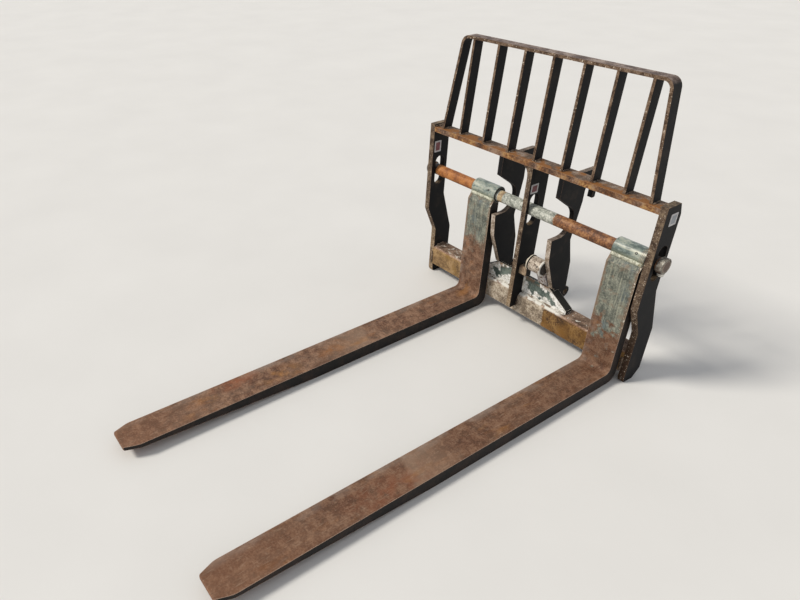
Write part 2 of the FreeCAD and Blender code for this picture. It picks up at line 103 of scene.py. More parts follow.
def new_material(name):
    """Empty material: its tree, the place on the object, the way the surface faces, and the shader."""
    material = bpy.data.materials.new(name)
    material.use_nodes = True
    tree = material.node_tree
    tree.nodes.clear()
    shader = add(tree, "BsdfPrincipled")
    add(tree, "OutputMaterial", {"Surface": shader})
    place = add(tree, "TexCoord")
    return material, tree, place.outputs["Object"], place.outputs["Normal"], shader


FLOOR_SIZE = 120.0
FLOOR_DROP = 0.0006  # keeps the floor just clear of the blades' flat undersides
FLOOR_CLOUD_MM = 500
SURROUND_LEVEL = 0.46
KEY_LEVEL = 2.5
KEY_SPREAD = 14.0
KEY_RISE, KEY_SWING = 47.0, 30.0  # degrees above the floor, and left of straight ahead

bpy.ops.object.select_all(action="DESELECT")
bpy.ops.mesh.primitive_plane_add(size=FLOOR_SIZE, location=(0, 0, -FLOOR_DROP))
floor = bpy.context.object
floor.name = "studio_floor"
# Painted board: an even pale grey without gloss, clouded too faintly to catch the eye.
paint, tree, place, facing, shader = new_material("matt studio floor")
cloud = add(tree, "TexNoise", {"Vector": place, "Scale": 1000 / FLOOR_CLOUD_MM, "Detail": 4.0})
tint = add(tree, "ValToRGB", {"Fac": cloud}, [(0.3, "e0dfdd"), (0.7, "e4e3e1")])
feed(tree, shader.inputs["Base Color"], tint)
shader.inputs["Roughness"].default_value = 0.9
floor.data.materials.append(paint)

# Paper surround: white to the eye and in gloss, but it lights the part less than it shows.
world = bpy.data.worlds.new("studio surround")
world.use_nodes = True
tree = world.node_tree
tree.nodes.clear()
path = add(tree, "LightPath")
seen = add(tree, "Math", {0: path.outputs["Is Camera Ray"], 1: path.outputs["Is Glossy Ray"]},
           operation="MAXIMUM")
seen = add(tree, "Math", {0: seen, 1: path.outputs["Is Transmission Ray"]}, operation="MAXIMUM")
level = add(tree, "MapRange", {0: seen, 3: SURROUND_LEVEL, 4: 1.0})
sky = add(tree, "Background", {"Color": linear("f6f8fc"), "Strength": level})
add(tree, "OutputWorld", {"Surface": sky})
bpy.context.scene.world = world

key_data = bpy.data.lights.new("key_light", "SUN")
key_data.energy = KEY_LEVEL
key_data.angle = math.radians(KEY_SPREAD)
key_data.color = linear("fff9ee")[:3]
key = bpy.data.objects.new("key_light", key_data)
bpy.context.scene.collection.objects.link(key)
key.matrix_world = (
    Matrix.Rotation(math.radians(-KEY_SWING), 4, "Z")
    @ Matrix.Rotation(math.radians(90 - KEY_RISE), 4, "X")
)


# Frame plates. Side plates, centre plate and gusset are cut from thick hot-rolled plate and
# brushed black. Their front edges are scraped to brown steel with pale grit in it, and brown
# dust lies on whatever faces up; low down, where pallets rub, the edge turns tan, but on the
# right side plate's foot it is dark brown, as painted shade from the right fork.
PIT_SHARE, FILM_MM = 0.45, 71.43
# Real chips, scuffs, pits and grit measure tenths of a millimetre, too fine to show in the render,
# so their sizes here and below are drawn as coarse as they need to show.
CHIP_MM, SCUFF_MM = 11.11, 11.11


def rust(tree, place, shades, patch_mm, grain_mm):
    """Scale on steel: broad stains with fine pitting in them. Gives its colour and its height."""
    stain = add(tree, "TexNoise",
                {"Vector": place, "Scale": 1000 / patch_mm, "Detail": 6.0, "Roughness": 0.6})
    pit = add(tree, "TexNoise",
              {"Vector": place, "Scale": 1000 / grain_mm, "Detail": 4.0, "Roughness": 0.65})
    both = add(tree, "Mix", {0: PIT_SHARE, 2: stain, 3: pit})
    dark, mid, light = shades
    tone = add(tree, "ValToRGB", {"Fac": both}, [(0.42, dark), (0.50, mid), (0.585, light)])
    return tone, both


def specks(tree, place, size_mm, low, high, full=1.0):
    """Full strength inside scattered specks of about this size, and 0 between them."""
    grit = add(tree, "TexNoise",
               {"Vector": place, "Scale": 1000 / size_mm, "Detail": 3.0, "Roughness": 0.55})
    return add(tree, "MapRange", {0: grit, 1: low, 2: high, 4: full})


def edge_wear(tree, place, reach_mm, low=0.02, high=0.16):
    """1 on outer edges and 0 on flats, broken up so that the wear comes and goes."""
    soft = add(tree, "Bevel", {"Radius": reach_mm / 1000}, samples=4)
    true = add(tree, "NewGeometry")
    same = add(tree, "VectorMath", {0: soft, 1: true.outputs["Normal"]}, operation="DOT_PRODUCT")
    turn = add(tree, "Math", {0: 1.0, 1: same.outputs["Value"]}, operation="SUBTRACT")
    chip = add(tree, "TexNoise", {"Vector": place, "Scale": 1000 / CHIP_MM, "Detail": 5.0})
    bite = add(tree, "MapRange", {0: chip, 1: 0.35, 2: 0.62, 3: high, 4: low})
    return add(tree, "Math", {0: turn, 1: bite}, operation="GREATER_THAN")


def facing_mask(tree, facing, axis, sign, low, high):
    """1 where the surface faces along the axis, from its own normal; with sign 0, either way."""
    parts = add(tree, "SeparateXYZ", {0: facing})
    if sign == 0:
        either = add(tree, "Math", {0: parts.outputs[axis]}, operation="ABSOLUTE")
        return add(tree, "MapRange", {0: either, 1: low, 2: high})
    return add(tree, "MapRange", {0: parts.outputs[axis], 1: sign * low, 2: sign * high})


def finish_surface(tree, shader, colour, height, relief_mm, rough, rough_by=None, gleam=0.5):
    """Links the colour and the fine relief, and runs the roughness from one value to the other."""
    shader.inputs["Specular IOR Level"].default_value = gleam
    rough = add(tree, "MapRange", {0: rough_by or height, 3: rough[0], 4: rough[1]})
    feed(tree, shader.inputs["Base Color"], colour)
    feed(tree, shader.inputs["Roughness"], rough)
    bump = add(tree, "Bump", {"Height": height, "Distance": relief_mm / 1000, "Strength": 1.0})
    feed(tree, shader.inputs["Normal"], bump)


TAN_FROM, TAN_FULL = 0.26, 0.14  # heights between which the front edges turn tan
FAR_RIGHT = 0.500  # only the right side plate lies beyond; its foot stays dark
SLOTS_Z, SLOTS_HALF, SLOTS_FROM_Y = 0.525, 0.125, 0.020  # the slots' walls lie in here
BARE_FADE = 0.040


def black_enamel(name, bare_shades, dusty_shades, grit_low, bare_below=2.0):
    """Black enamel brushed on hot-rolled steel: deep black with hardly any gloss. In front it is
    scraped to rough brown up to a height, but for the walls of the slots, and dust dulls its top."""
    material, tree, place, facing, shader = new_material(name)
    film = add(tree, "TexNoise",
               {"Vector": place, "Scale": 1000 / FILM_MM, "Detail": 7.0, "Roughness": 0.62})
    colour = add(tree, "ValToRGB", {"Fac": film},
                 [(0.42, "08080a"), (0.56, "100f0f"), (0.70, "29221d")])
    bare, height = rust(tree, place, bare_shades, 26.0, 4.0)
    spot = add(tree, "SeparateXYZ", {0: place})
    low_down = add(tree, "MapRange", {0: spot.outputs[2], 1: TAN_FROM, 2: TAN_FULL})
    scraped, _ = rust(tree, place, ("5f4c38", "84705a", "a99478"), 30.0, 4.0)
    # Painted shade: the scraped foot of the right side plate is dark brown, for the right fork's
    # shadow.
    right_foot_shaded = add(tree, "Math", {0: spot.outputs[0], 1: FAR_RIGHT}, operation="GREATER_THAN")
    scraped = add(tree, "Mix", {0: right_foot_shaded, 6: scraped, 7: "443327"}, data_type="RGBA")
    bare = add(tree, "Mix", {0: low_down, 6: bare, 7: scraped}, data_type="RGBA")
    grit = specks(tree, place, 6.0, grit_low, grit_low + 0.05)
    bare = add(tree, "Mix", {0: grit, 6: bare, 7: "cdbfae"}, data_type="RGBA")
    front = facing_mask(tree, facing, 1, -1, 0.20, 0.45)
    scraped_to = add(tree, "MapRange", {0: spot.outputs[2], 1: bare_below + BARE_FADE, 2: bare_below})
    front = add(tree, "Math", {0: front, 1: scraped_to}, operation="MULTIPLY")
    at_slots = add(tree, "Math", {0: spot.outputs[2], 1: SLOTS_Z, 2: SLOTS_HALF}, operation="COMPARE")
    set_back = add(tree, "Math", {0: spot.outputs[1], 1: SLOTS_FROM_Y}, operation="GREATER_THAN")
    in_slot = add(tree, "Math", {0: at_slots, 1: set_back}, operation="MULTIPLY")
    front = add(tree, "Math", {0: front, 1: in_slot}, operation="SUBTRACT", use_clamp=True)
    colour = add(tree, "Mix", {0: front, 6: colour, 7: bare}, data_type="RGBA")
    dusty, _ = rust(tree, place, dusty_shades, 34.0, 4.0)
    above = facing_mask(tree, facing, 2, 1, 0.5, 0.8)
    colour = add(tree, "Mix", {0: above, 6: colour, 7: dusty}, data_type="RGBA")
    worn = edge_wear(tree, place, 1.6)
    colour = add(tree, "Mix", {0: worn, 6: colour, 7: "6b5343"}, data_type="RGBA")
    finish_surface(tree, shader, colour, height, 0.5, (0.62, 0.82), rough_by=front, gleam=0.18)
    return material


def dress(material, *names):
    """Gives CAD pieces their material."""
    for name in names:
        nodes[name].data.materials.clear()
        nodes[name].data.materials.append(material)


plate_enamel = black_enamel("black enamel on plate", ("3d3027", "5f4f42", "86745f"),
                            ("3c3128", "63533f", "8d7b66"), 0.62)
dress(plate_enamel, "side_plate_left", "side_plate_right", "centre_plate", "corner_gusset")


# Hook plates. Plate again, with a coupler hook behind. The lips of the recess in front are
# rubbed almost white by the forks' eyes, so they show as pale lines along a black plate; above
# the recess the front edges stay black, as painted shade under the top bar.
RECESS_FOOT = 0.470
# Painted shade: above the recess foot the front edges keep the black, for the top bar's shadow.
hook_enamel = black_enamel("black enamel on hook plate", ("7a6a5a", "a8998a", "cfc5bb"),
                           ("4b4036", "73655a", "9b8d80"), 0.60, bare_below=RECESS_FOOT)
dress(hook_enamel, "hook_plate_left", "hook_plate_right")


# Load backrest. A flat bar bent to a hoop with seven flat bars stood on edge inside it, all
# welded to the top bar. Black like the frame; only the front edges are rubbed light brown, and
# the hoop's top is pinkish brown with dust.
RACK_BARS = 7
rack_enamel = black_enamel("black enamel on flat bar", ("3f3027", "64503f", "877260"),
                           ("483a34", "716159", "9d8e84"), 0.63)
dress(rack_enamel, "rack_frame", *("rack_bar_%d" % (k + 1) for k in range(RACK_BARS)))


# Top bar. Flat bar that the loads scrape over. No paint is left on its front and its top: the
# front is orange rust with a lighter upper edge, and brown dust lies on the top.
TOP_BAR_BACK, TOP_BAR_FRONT = 0.060, 0.0
TOP_PATCH_MM = 45.45
# Hot-rolled steel without paint: dry and matt, orange and brown in turn, with no metal glint.
material, tree, place, facing, shader = new_material("rusted hot-rolled flat")
orange, height = rust(tree, place, ("52341f", "805532", "b08a58"), 40.0, 8.0)
brown, _ = rust(tree, place, ("3f2e24", "6b5243", "957a66"), 40.0, 7.0)
share = specks(tree, place, 70.0, 0.43, 0.58)
front = add(tree, "Mix", {0: share, 6: orange, 7: brown}, data_type="RGBA")
scuffs = add(tree, "TexNoise",
             {"Vector": place, "Scale": 1000 / SCUFF_MM, "Detail": 9.0, "Roughness": 0.8})
scuffs = add(tree, "MapRange", {0: scuffs, 1: 0.55, 2: 0.70, 4: 0.55})
front = add(tree, "Mix", {0: scuffs, 6: front, 7: "a58f78"}, data_type="RGBA")
dusty, _ = rust(tree, place, ("4a3b30", "705d4e", "968679"), 36.0, 4.0)
spot = add(tree, "SeparateXYZ", {0: place})
forward = add(tree, "MapRange",
              {0: spot.outputs[1], 1: TOP_BAR_BACK, 2: TOP_BAR_FRONT, 3: -0.10, 4: 0.16})
patch = add(tree, "TexNoise", {"Vector": place, "Scale": 1000 / TOP_PATCH_MM, "Detail": 5.0})
share = add(tree, "Math", {0: patch, 1: forward}, operation="ADD")
share = add(tree, "MapRange", {0: share, 1: 0.50, 2: 0.60})
top = add(tree, "Mix", {0: share, 6: dusty, 7: "86592f"}, data_type="RGBA")
above = facing_mask(tree, facing, 2, 1, 0.4, 0.8)
colour = add(tree, "Mix", {0: above, 6: front, 7: top}, data_type="RGBA")
# Painted shade: faces that look down are darkened to near black.
below = facing_mask(tree, facing, 2, -1, 0.4, 0.8)
colour = add(tree, "Mix", {0: below, 6: colour, 7: "1d1814"}, data_type="RGBA")
worn = edge_wear(tree, place, 2.0)
colour = add(tree, "Mix", {0: worn, 6: colour, 7: "b08c70"}, data_type="RGBA")
finish_surface(tree, shader, colour, height, 0.8, (0.9, 0.68), gleam=0.3)
dress(material, "top_bar")


# Lower beam. A channel bent from plate, open below, scraped by pallets. Its middle is dry and
# tan, its right part is ochre, and the change between them is sharp, as where a patch of paint
# ended. The bend along its top is painted a lighter pinkish brown as a highlight, and chalky
# primer is left before the apron.
MIDDLE_RIGHT, MIDDLE_LEFT = 0.146, -0.150
SHARP, SOFT, WANDER = 0.006, 0.030, 0.010  # widths of the two changes, and how ragged they are
APRON_FACE, APRON_BACK, APRON_REACH = 0.0695, 0.0815, 0.230
# Rolled steel scraped over and over: dry and chalky, tan or ochre, without gloss.
material, tree, place, facing, shader = new_material("scraped channel steel")
spot = add(tree, "SeparateXYZ", {0: place})
wander = specks(tree, place, 30.0, 0.3, 0.7, WANDER)
along = add(tree, "Math", {0: spot.outputs[0], 1: wander}, operation="ADD")
tan, height = rust(tree, place, ("6d6052", "9a8b79", "c6baa8"), 34.0, 6.0)
ochre, _ = rust(tree, place, ("3d2b1b", "6a4d2e", "8f6f42"), 46.0, 6.0)
left_brown, _ = rust(tree, place, ("604a33", "8b6f4c", "a88a62"), 40.0, 4.0)
golden = specks(tree, place, 75.0, 0.50, 0.74)
ochre = add(tree, "Mix", {0: golden, 6: ochre, 7: "7a5628"}, data_type="RGBA")
left_brown = add(tree, "Mix", {0: golden, 6: left_brown, 7: "8a6a35"}, data_type="RGBA")
right = add(tree, "MapRange", {0: along, 1: MIDDLE_RIGHT, 2: MIDDLE_RIGHT + SHARP})
left = add(tree, "MapRange", {0: along, 1: MIDDLE_LEFT, 2: MIDDLE_LEFT - SOFT})
colour = add(tree, "Mix", {0: right, 6: tan, 7: ochre}, data_type="RGBA")
colour = add(tree, "Mix", {0: left, 6: colour, 7: left_brown}, data_type="RGBA")
# Painted highlight: where the bend faces up it is lighter pinkish brown.
bend_high = facing_mask(tree, facing, 2, 1, 0.60, 0.80)
lit, _ = rust(tree, place, ("75594a", "9c7d69", "c0a692"), 28.0, 4.0)
colour = add(tree, "Mix", {0: bend_high, 6: colour, 7: lit}, data_type="RGBA")
above = facing_mask(tree, facing, 2, 1, 0.80, 0.95)
dusty, _ = rust(tree, place, ("4a392e", "745e4e", "967f6c"), 30.0, 4.0)
flaked = specks(tree, place, 14.0, 0.60, 0.66)
dusty = add(tree, "Mix", {0: flaked, 6: dusty, 7: "cfcabf"}, data_type="RGBA")
colour = add(tree, "Mix", {0: above, 6: colour, 7: dusty}, data_type="RGBA")
before_apron = add(tree, "MapRange", {0: spot.outputs[1], 1: APRON_BACK, 2: APRON_FACE})
across = add(tree, "Math", {0: spot.outputs[0]}, operation="ABSOLUTE")
within = add(tree, "MapRange", {0: across, 1: APRON_REACH, 2: APRON_REACH - SOFT})
chalky = specks(tree, place, 30.0, 0.40, 0.50)
for share in (before_apron, within, bend_high):
    chalky = add(tree, "Math", {0: chalky, 1: share}, operation="MULTIPLY")
colour = add(tree, "Mix", {0: chalky, 6: colour, 7: "dfddd6"}, data_type="RGBA")
finish_surface(tree, shader, colour, height, 0.6, (0.92, 0.72), gleam=0.3)
dress(material, "lower_beam")


# Apron. Two plates that slope out from the hook plates to the beam. Grey-green paint is left in
# the middle; along the foot, beside the centre plate and under the sloping edge it has come off
# to chalk-white primer, and brown rust shows near the top.
APRON_FOOT, APRON_HEAD = 0.133, 0.213
SLOPE_FROM, SLOPE_OUT, SLOPE_UP = 0.130, 0.539, 0.842  # where the sloping edge starts, and its normal
SLOPE_BAND, FOOT_BAND, PLATE_BAND = 0.060, 0.055, (0.070, 0.016)  # reach of the bare primer
BROWN_BAND = (0.022, 0.004)
PAINT_FLAKE_MM = 37.04
# Satin paint that flakes off its primer: a soft sheen in the middle, dead matt and white around it.
material, tree, place, facing, shader = new_material("grey-green paint over primer")
spot = add(tree, "SeparateXYZ", {0: place})
across = add(tree, "Math", {0: spot.outputs[0]}, operation="ABSOLUTE")
green, height = rust(tree, place, ("3f4a46", "5c6862", "77827b"), 40.0, 4.0)
out = add(tree, "Math", {0: across, 1: SLOPE_FROM}, operation="SUBTRACT")
out = add(tree, "Math", {0: out, 1: SLOPE_OUT}, operation="MULTIPLY")
up = add(tree, "Math", {0: spot.outputs[2], 1: APRON_HEAD}, operation="SUBTRACT")
up = add(tree, "Math", {0: up, 1: SLOPE_UP}, operation="MULTIPLY")
to_slope = add(tree, "Math", {0: out, 1: up}, operation="ADD")
by_slope = add(tree, "MapRange", {0: to_slope, 1: -SLOPE_BAND, 2: -0.002})
by_foot = add(tree, "MapRange", {0: spot.outputs[2], 1: APRON_FOOT + FOOT_BAND, 2: APRON_FOOT})
by_plate = add(tree, "MapRange", {0: across, 1: PLATE_BAND[0], 2: PLATE_BAND[1], 4: 0.8})
edge = add(tree, "Math", {0: by_slope, 1: by_foot}, operation="MAXIMUM")
edge = add(tree, "Math", {0: edge, 1: by_plate}, operation="MAXIMUM")
flake = add(tree, "TexNoise",
            {"Vector": place, "Scale": 1000 / PAINT_FLAKE_MM, "Detail": 6.0, "Roughness": 0.58})
flake = add(tree, "MapRange", {0: flake, 1: 0.32, 2: 0.68})
level = add(tree, "Mix", {0: 0.56, 2: edge, 3: flake})
gone = add(tree, "MapRange", {0: level, 1: 0.50, 2: 0.56})
primer, _ = rust(tree, place, ("b9b6ae", "e2e1dc", "f6f5f2"), 24.0, 6.0)
colour = add(tree, "Mix", {0: gone, 6: green, 7: primer}, data_type="RGBA")
near_top = add(tree, "MapRange",
               {0: spot.outputs[2], 1: APRON_HEAD - BROWN_BAND[0], 2: APRON_HEAD - BROWN_BAND[1]})
browned = specks(tree, place, 26.0, 0.44, 0.54)
browned = add(tree, "Math", {0: near_top, 1: browned}, operation="MULTIPLY")
colour = add(tree, "Mix", {0: browned, 6: colour, 7: "8a6f58"}, data_type="RGBA")
# Painted shade: faces that do not look forward, such as the sloping ends, are near black.
behind = facing_mask(tree, facing, 1, -1, 0.7, 0.3)
colour = add(tree, "Mix", {0: behind, 6: colour, 7: "1e1d18"}, data_type="RGBA")
worn = edge_wear(tree, place, 2.5)
colour = add(tree, "Mix", {0: worn, 6: colour, 7: "d9d0bf"}, data_type="RGBA")
finish_surface(tree, shader, colour, level, 0.6, (0.5, 0.85), rough_by=gone, gleam=0.3)
dress(material, "apron_left", "apron_right")


# Pin bush, its pin and its web, and the stop block on the centre plate. The bush is turned steel,
# cream with dry dirt; the thin flange on the pin is rubbed bright; the web kept a pale primer,
# and the stop block is bare and tan.
FLANGE_X, FLANGE_HALF = 0.065, 0.003
# Turned steel under dry dirt: cream and matt, palest on the flange's rim, with painted shade on its
# right face.
material, tree, place, facing, shader = new_material("turned steel with dry dirt")
spot = add(tree, "SeparateXYZ", {0: place})
cream, height = rust(tree, place, ("76675a", "b0a292", "d3c7b7"), 18.0, 3.0)
grime = specks(tree, place, 9.0, 0.56, 0.64)
colour = add(tree, "Mix", {0: grime, 6: cream, 7: "5d4b3d"}, data_type="RGBA")
rim = add(tree, "Math", {0: spot.outputs[0], 1: FLANGE_X, 2: FLANGE_HALF}, operation="COMPARE")
colour = add(tree, "Mix", {0: rim, 6: colour, 7: "cfc6b4"}, data_type="RGBA")
shaded = facing_mask(tree, facing, 0, 1, 0.6, 0.8)
colour = add(tree, "Mix", {0: shaded, 6: colour, 7: "2a231d"}, data_type="RGBA")
finish_surface(tree, shader, colour, height, 0.4, (0.85, 0.55))
dress(material, "pin_bush", "bush_pin")

# Primer that was never painted over: flat, pale and slightly pink, chipped to rust.
material, tree, place, facing, shader = new_material("pale primer on web")
web, height = rust(tree, place, ("857c7c", "b3acaa", "dcd7d1"), 22.0, 4.0)
chips = specks(tree, place, 12.0, 0.56, 0.62)
colour = add(tree, "Mix", {0: chips, 6: web, 7: "6f5344"}, data_type="RGBA")
finish_surface(tree, shader, colour, height, 0.4, (0.85, 0.6))
dress(material, "bush_web")

# Sawn steel with a tan film of rust: dry, without gloss, with painted shade on its right face.
material, tree, place, facing, shader = new_material("bare tan steel block")
block, height = rust(tree, place, ("5c4838", "86705a", "a8937a"), 16.0, 3.0)
shaded = facing_mask(tree, facing, 0, 1, 0.6, 0.8)
colour = add(tree, "Mix", {0: shaded, 6: block, 7: "1f1a16"}, data_type="RGBA")
finish_surface(tree, shader, colour, height, 0.4, (0.9, 0.7))
dress(material, "stop_block")


# Fork shaft. Solid round bar, 45 mm. Its outer lengths are orange with flash rust; between the
# forks it is still pale grey with old paint, but for a short brown band beside the left fork.
SHAFT_MIDDLE, RAGGED = (-0.262, 0.118), 0.014  # the pale length, and how ragged its ends are
RUBBED_X, RUBBED_HALF = -0.140, 0.012
BRIGHTER_FROM, BRIGHTER_FULL = 0.10, -0.25
SLOT_X, SLOT_HALF = 0.522, 0.013  # where the bar runs through a side plate it is dark
RIM_FROM, RIM_FULL = 0.0165, 0.0190  # radii between which an end face turns pale
SHAFT_Y, SHAFT_Z = 0.045, 0.508
# Round bar with flash rust: thin and even, so a faint sheen still runs along it.
material, tree, place, facing, shader = new_material("bar with flash rust")
spot = add(tree, "SeparateXYZ", {0: place})
flash, height = rust(tree, place, ("4d2e1b", "7c4f2d", "a3744a"), 26.0, 6.0)
brighter, _ = rust(tree, place, ("7a451d", "a0622c", "b97a3e"), 34.0, 5.0)
leftward = add(tree, "MapRange", {0: spot.outputs[0], 1: BRIGHTER_FROM, 2: BRIGHTER_FULL})
flash = add(tree, "Mix", {0: leftward, 6: flash, 7: brighter}, data_type="RGBA")
old, _ = rust(tree, place, ("72756d", "a3a69c", "d0d0c6"), 22.0, 7.0)
wander = specks(tree, place, 22.0, 0.3, 0.7, RAGGED)
along = add(tree, "Math", {0: spot.outputs[0], 1: wander}, operation="ADD")
left_end = add(tree, "MapRange", {0: along, 1: SHAFT_MIDDLE[0], 2: SHAFT_MIDDLE[0] - 0.008})
right_end = add(tree, "MapRange", {0: along, 1: SHAFT_MIDDLE[1] + 0.006, 2: SHAFT_MIDDLE[1] + 0.012})
rusty = add(tree, "Math", {0: left_end, 1: right_end}, operation="MAXIMUM")
colour = add(tree, "Mix", {0: rusty, 6: old, 7: flash}, data_type="RGBA")
band = add(tree, "Math", {0: spot.outputs[0], 1: RUBBED_X, 2: RUBBED_HALF}, operation="COMPARE")
rubbed, _ = rust(tree, place, ("7a6247", "a08866", "c4b08c"), 14.0, 3.0)
colour = add(tree, "Mix", {0: band, 6: colour, 7: rubbed}, data_type="RGBA")
from_axis = add(tree, "Mapping", {0: place, 1: (0.0, -SHAFT_Y, -SHAFT_Z), 3: (0.0, 1.0, 1.0)})
radial = add(tree, "VectorMath", {0: from_axis}, operation="LENGTH")
rim = add(tree, "MapRange", {0: radial.outputs["Value"], 1: RIM_FROM, 2: RIM_FULL})
end_face = add(tree, "Mix", {0: rim, 6: "5f4d42", 7: "9c9082"}, data_type="RGBA")
at_end = facing_mask(tree, facing, 0, 0, 0.5, 0.8)
colour = add(tree, "Mix", {0: at_end, 6: colour, 7: end_face}, data_type="RGBA")
across = add(tree, "Math", {0: spot.outputs[0]}, operation="ABSOLUTE")
# Painted shade: where the bar runs through a side plate's slot it is near black.
shaded_in_slot = add(tree, "Math", {0: across, 1: SLOT_X, 2: SLOT_HALF}, operation="COMPARE")
colour = add(tree, "Mix", {0: shaded_in_slot, 6: colour, 7: "1c1410"}, data_type="RGBA")
finish_surface(tree, shader, colour, height, 0.25, (0.72, 0.5))
dress(material, "fork_shaft")


# Shaft collars and their bolts. Rings turned from bar, pushed on the shaft's ends outside the
# plates, each clamped from below by a pale domed bolt on a washer. Brown scale all over, with the
# edges rubbed grey.
SMOOTH_BELOW = 38  # degrees between faces that still read as one curve


def pick(kind, test):
    """In edit mode, selects only the verts, edges or faces that pass the test."""
    bpy.ops.mesh.select_mode(type={"verts": "VERT", "edges": "EDGE", "faces": "FACE"}[kind])
    bpy.ops.mesh.select_all(action="DESELECT")
    shape = bmesh.from_edit_mesh(bpy.context.object.data)
    for item in getattr(shape, kind):
        item.select_set(bool(test(item)))
    bmesh.update_edit_mesh(bpy.context.object.data)


def extrude(*move):
    """In edit mode, extrudes what is selected by this much."""
    bpy.ops.mesh.extrude_region_move(TRANSFORM_OT_translate={"value": move})


def take(*parts):
    """Selects these pieces and nothing else; the first is the active one."""
    bpy.ops.object.select_all(action="DESELECT")
    for part in parts:
        part.select_set(True)
    bpy.context.view_layer.objects.active = parts[0]


def copy_moved(piece, move):
    """A copy with its own mesh, moved by this much."""
    take(piece)
    bpy.ops.object.duplicate()
    twin = bpy.context.object
    twin.location = move
    bpy.ops.object.transform_apply()
    return twin


def join_pieces(parts):
    """Makes one mesh of several."""
    take(*parts)
    bpy.ops.object.join()
    return bpy.context.object


def settle(piece, name, body, slot, *materials):
    """Names a finished piece, smooths it, gives it its materials, and hands it to its body."""
    take(piece)
    bpy.ops.object.shade_smooth_by_angle(angle=math.radians(SMOOTH_BELOW))
    piece.name = name
    for material in materials:
        piece.data.materials.append(material)
    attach(piece, body)


# Turned steel under thin scale: grey-brown, with a dull gleam of metal through it.
material, tree, place, facing, shader = new_material("turned collar with brown scale")
scale, height = rust(tree, place, ("4f453d", "807a70", "aba69a"), 14.0, 4.0)
# Painted shade: the collar is darker where it faces down.
under = facing_mask(tree, facing, 2, -1, 0.1, 0.6)
colour = add(tree, "Mix", {0: under, 6: scale, 7: "4a3c32"}, data_type="RGBA")
shader.inputs["Metallic"].default_value = 0.2
finish_surface(tree, shader, colour, height, 0.3, (0.7, 0.45))
dress(material, "shaft_collar_left", "shaft_collar_right")

BOLT_X, BOLT_FOOT = 0.551, 0.4685
HEAD_RADIUS, HEAD_HEIGHT = 0.0102, 0.0075
WASHER_RADIUS, WASHER_THICK = 0.0118, 0.0022
NECK_RADIUS, NECK_HEIGHT = 0.0070, 0.0080
DOME_STEPS = ((0.0011, 0.0010), (0.0016, 0.0008), (0.0018, 0.0005), (0.0018, 0.0002))
DOME_DEPTH = 0.0025
HEAD_MIDDLE = BOLT_FOOT + DOME_DEPTH + HEAD_HEIGHT / 2
# Zinc plate gone dull: pale and silky, the lightest spot at the shaft's ends.
material, tree, place, facing, shader = new_material("zinc-plated bolt, dulled")
zinc, height = rust(tree, place, ("a09c92", "d0cdc3", "e8e5dc"), 9.0, 2.0)
shader.inputs["Metallic"].default_value = 0.15
finish_surface(tree, shader, zinc, height, 0.15, (0.6, 0.35))

bpy.ops.object.select_all(action="DESELECT")
bpy.ops.mesh.primitive_cylinder_add(vertices=24, radius=HEAD_RADIUS, depth=HEAD_HEIGHT,
                                    location=(BOLT_X, SHAFT_Y, HEAD_MIDDLE))
bolt = bpy.context.object
bpy.ops.object.transform_apply()
bpy.ops.object.mode_set(mode="EDIT")
pick("faces", lambda f: f.normal.z < -0.9)
for inset, sink in DOME_STEPS:
    bpy.ops.mesh.inset(thickness=inset)
    bpy.ops.transform.translate(value=(0, 0, -sink))
pick("faces", lambda f: f.normal.z > 0.9)
extrude(0, 0, 0)
bpy.ops.transform.resize(value=(WASHER_RADIUS / HEAD_RADIUS,) * 2 + (1,))
extrude(0, 0, WASHER_THICK)
extrude(0, 0, 0)
bpy.ops.transform.resize(value=(NECK_RADIUS / WASHER_RADIUS,) * 2 + (1,))
extrude(0, 0, NECK_HEIGHT - WASHER_THICK)
bpy.ops.mesh.select_all(action="SELECT")
bpy.ops.mesh.remove_doubles(threshold=0.00002)
bpy.ops.mesh.normals_make_consistent(inside=False)
bpy.ops.object.mode_set(mode="OBJECT")
other_bolt = copy_moved(bolt, (-2 * BOLT_X, 0, 0))
settle(bolt, "domed_bolt_right", "shaft", "bolt_steel", material)
settle(other_bolt, "domed_bolt_left", "shaft", "bolt_steel", material)
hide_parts("collar_bolt_right")
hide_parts("collar_bolt_left")


# Forks. Drop-forged steel, painted grey-green. The shanks keep their paint, scratched up and
# down and rubbed brown along both edges. Heels and blades have been dragged over gravel and
# pallets until nothing but brown rust is left, lighter and orange at the tips.
LEFT_FORK_X, RIGHT_FORK_X, HALF_FORK = -0.221, 0.441, 0.062
BETWEEN_FORKS = 0.1
PAINT_ENDS = (0.300, 0.208)  # height at which the paint gives out, left and right
PAINT_FADES = (0.055, 0.160)
DUST_EDGE = (-0.56, -0.92)  # a duller stretch starts here: tipwards left, heelwards right
DUST_SLANT, DUST_REACH = 0.35, 0.22
TIP_FROM, TIP_FULL = -1.15, -1.58
CHIPS_FROM, CHIPS_FULL = HALF_FORK - 0.012, HALF_FORK - 0.004
RUBBED_FROM, RUBBED_FULL = HALF_FORK - 0.007, HALF_FORK + 0.003
STAIN_MM, DRIFT_MM = 153.8, 52.63
PATCH_STRETCH = 0.45  # the patches are about twice as long as they are wide
PATCHES = (("a06e35", -0.205, -0.985, 0.050), ("8b4c2b", -0.262, -1.140, 0.055),
           ("8d5a2c", -0.215, -0.730, 0.040), ("7a452a", 0.470, -1.000, 0.090))


def places_on_fork(tree, place):
    """A spot's coordinates, whether it is on the right fork, and how far off its fork's middle."""
    spot = add(tree, "SeparateXYZ", {0: place})
    on_right = add(tree, "Math", {0: spot.outputs[0], 1: BETWEEN_FORKS}, operation="GREATER_THAN")
    middle = add(tree, "MapRange", {0: on_right, 3: LEFT_FORK_X, 4: RIGHT_FORK_X})
    off_middle = add(tree, "Math", {0: spot.outputs[0], 1: middle}, operation="SUBTRACT")
    return spot, on_right, off_middle


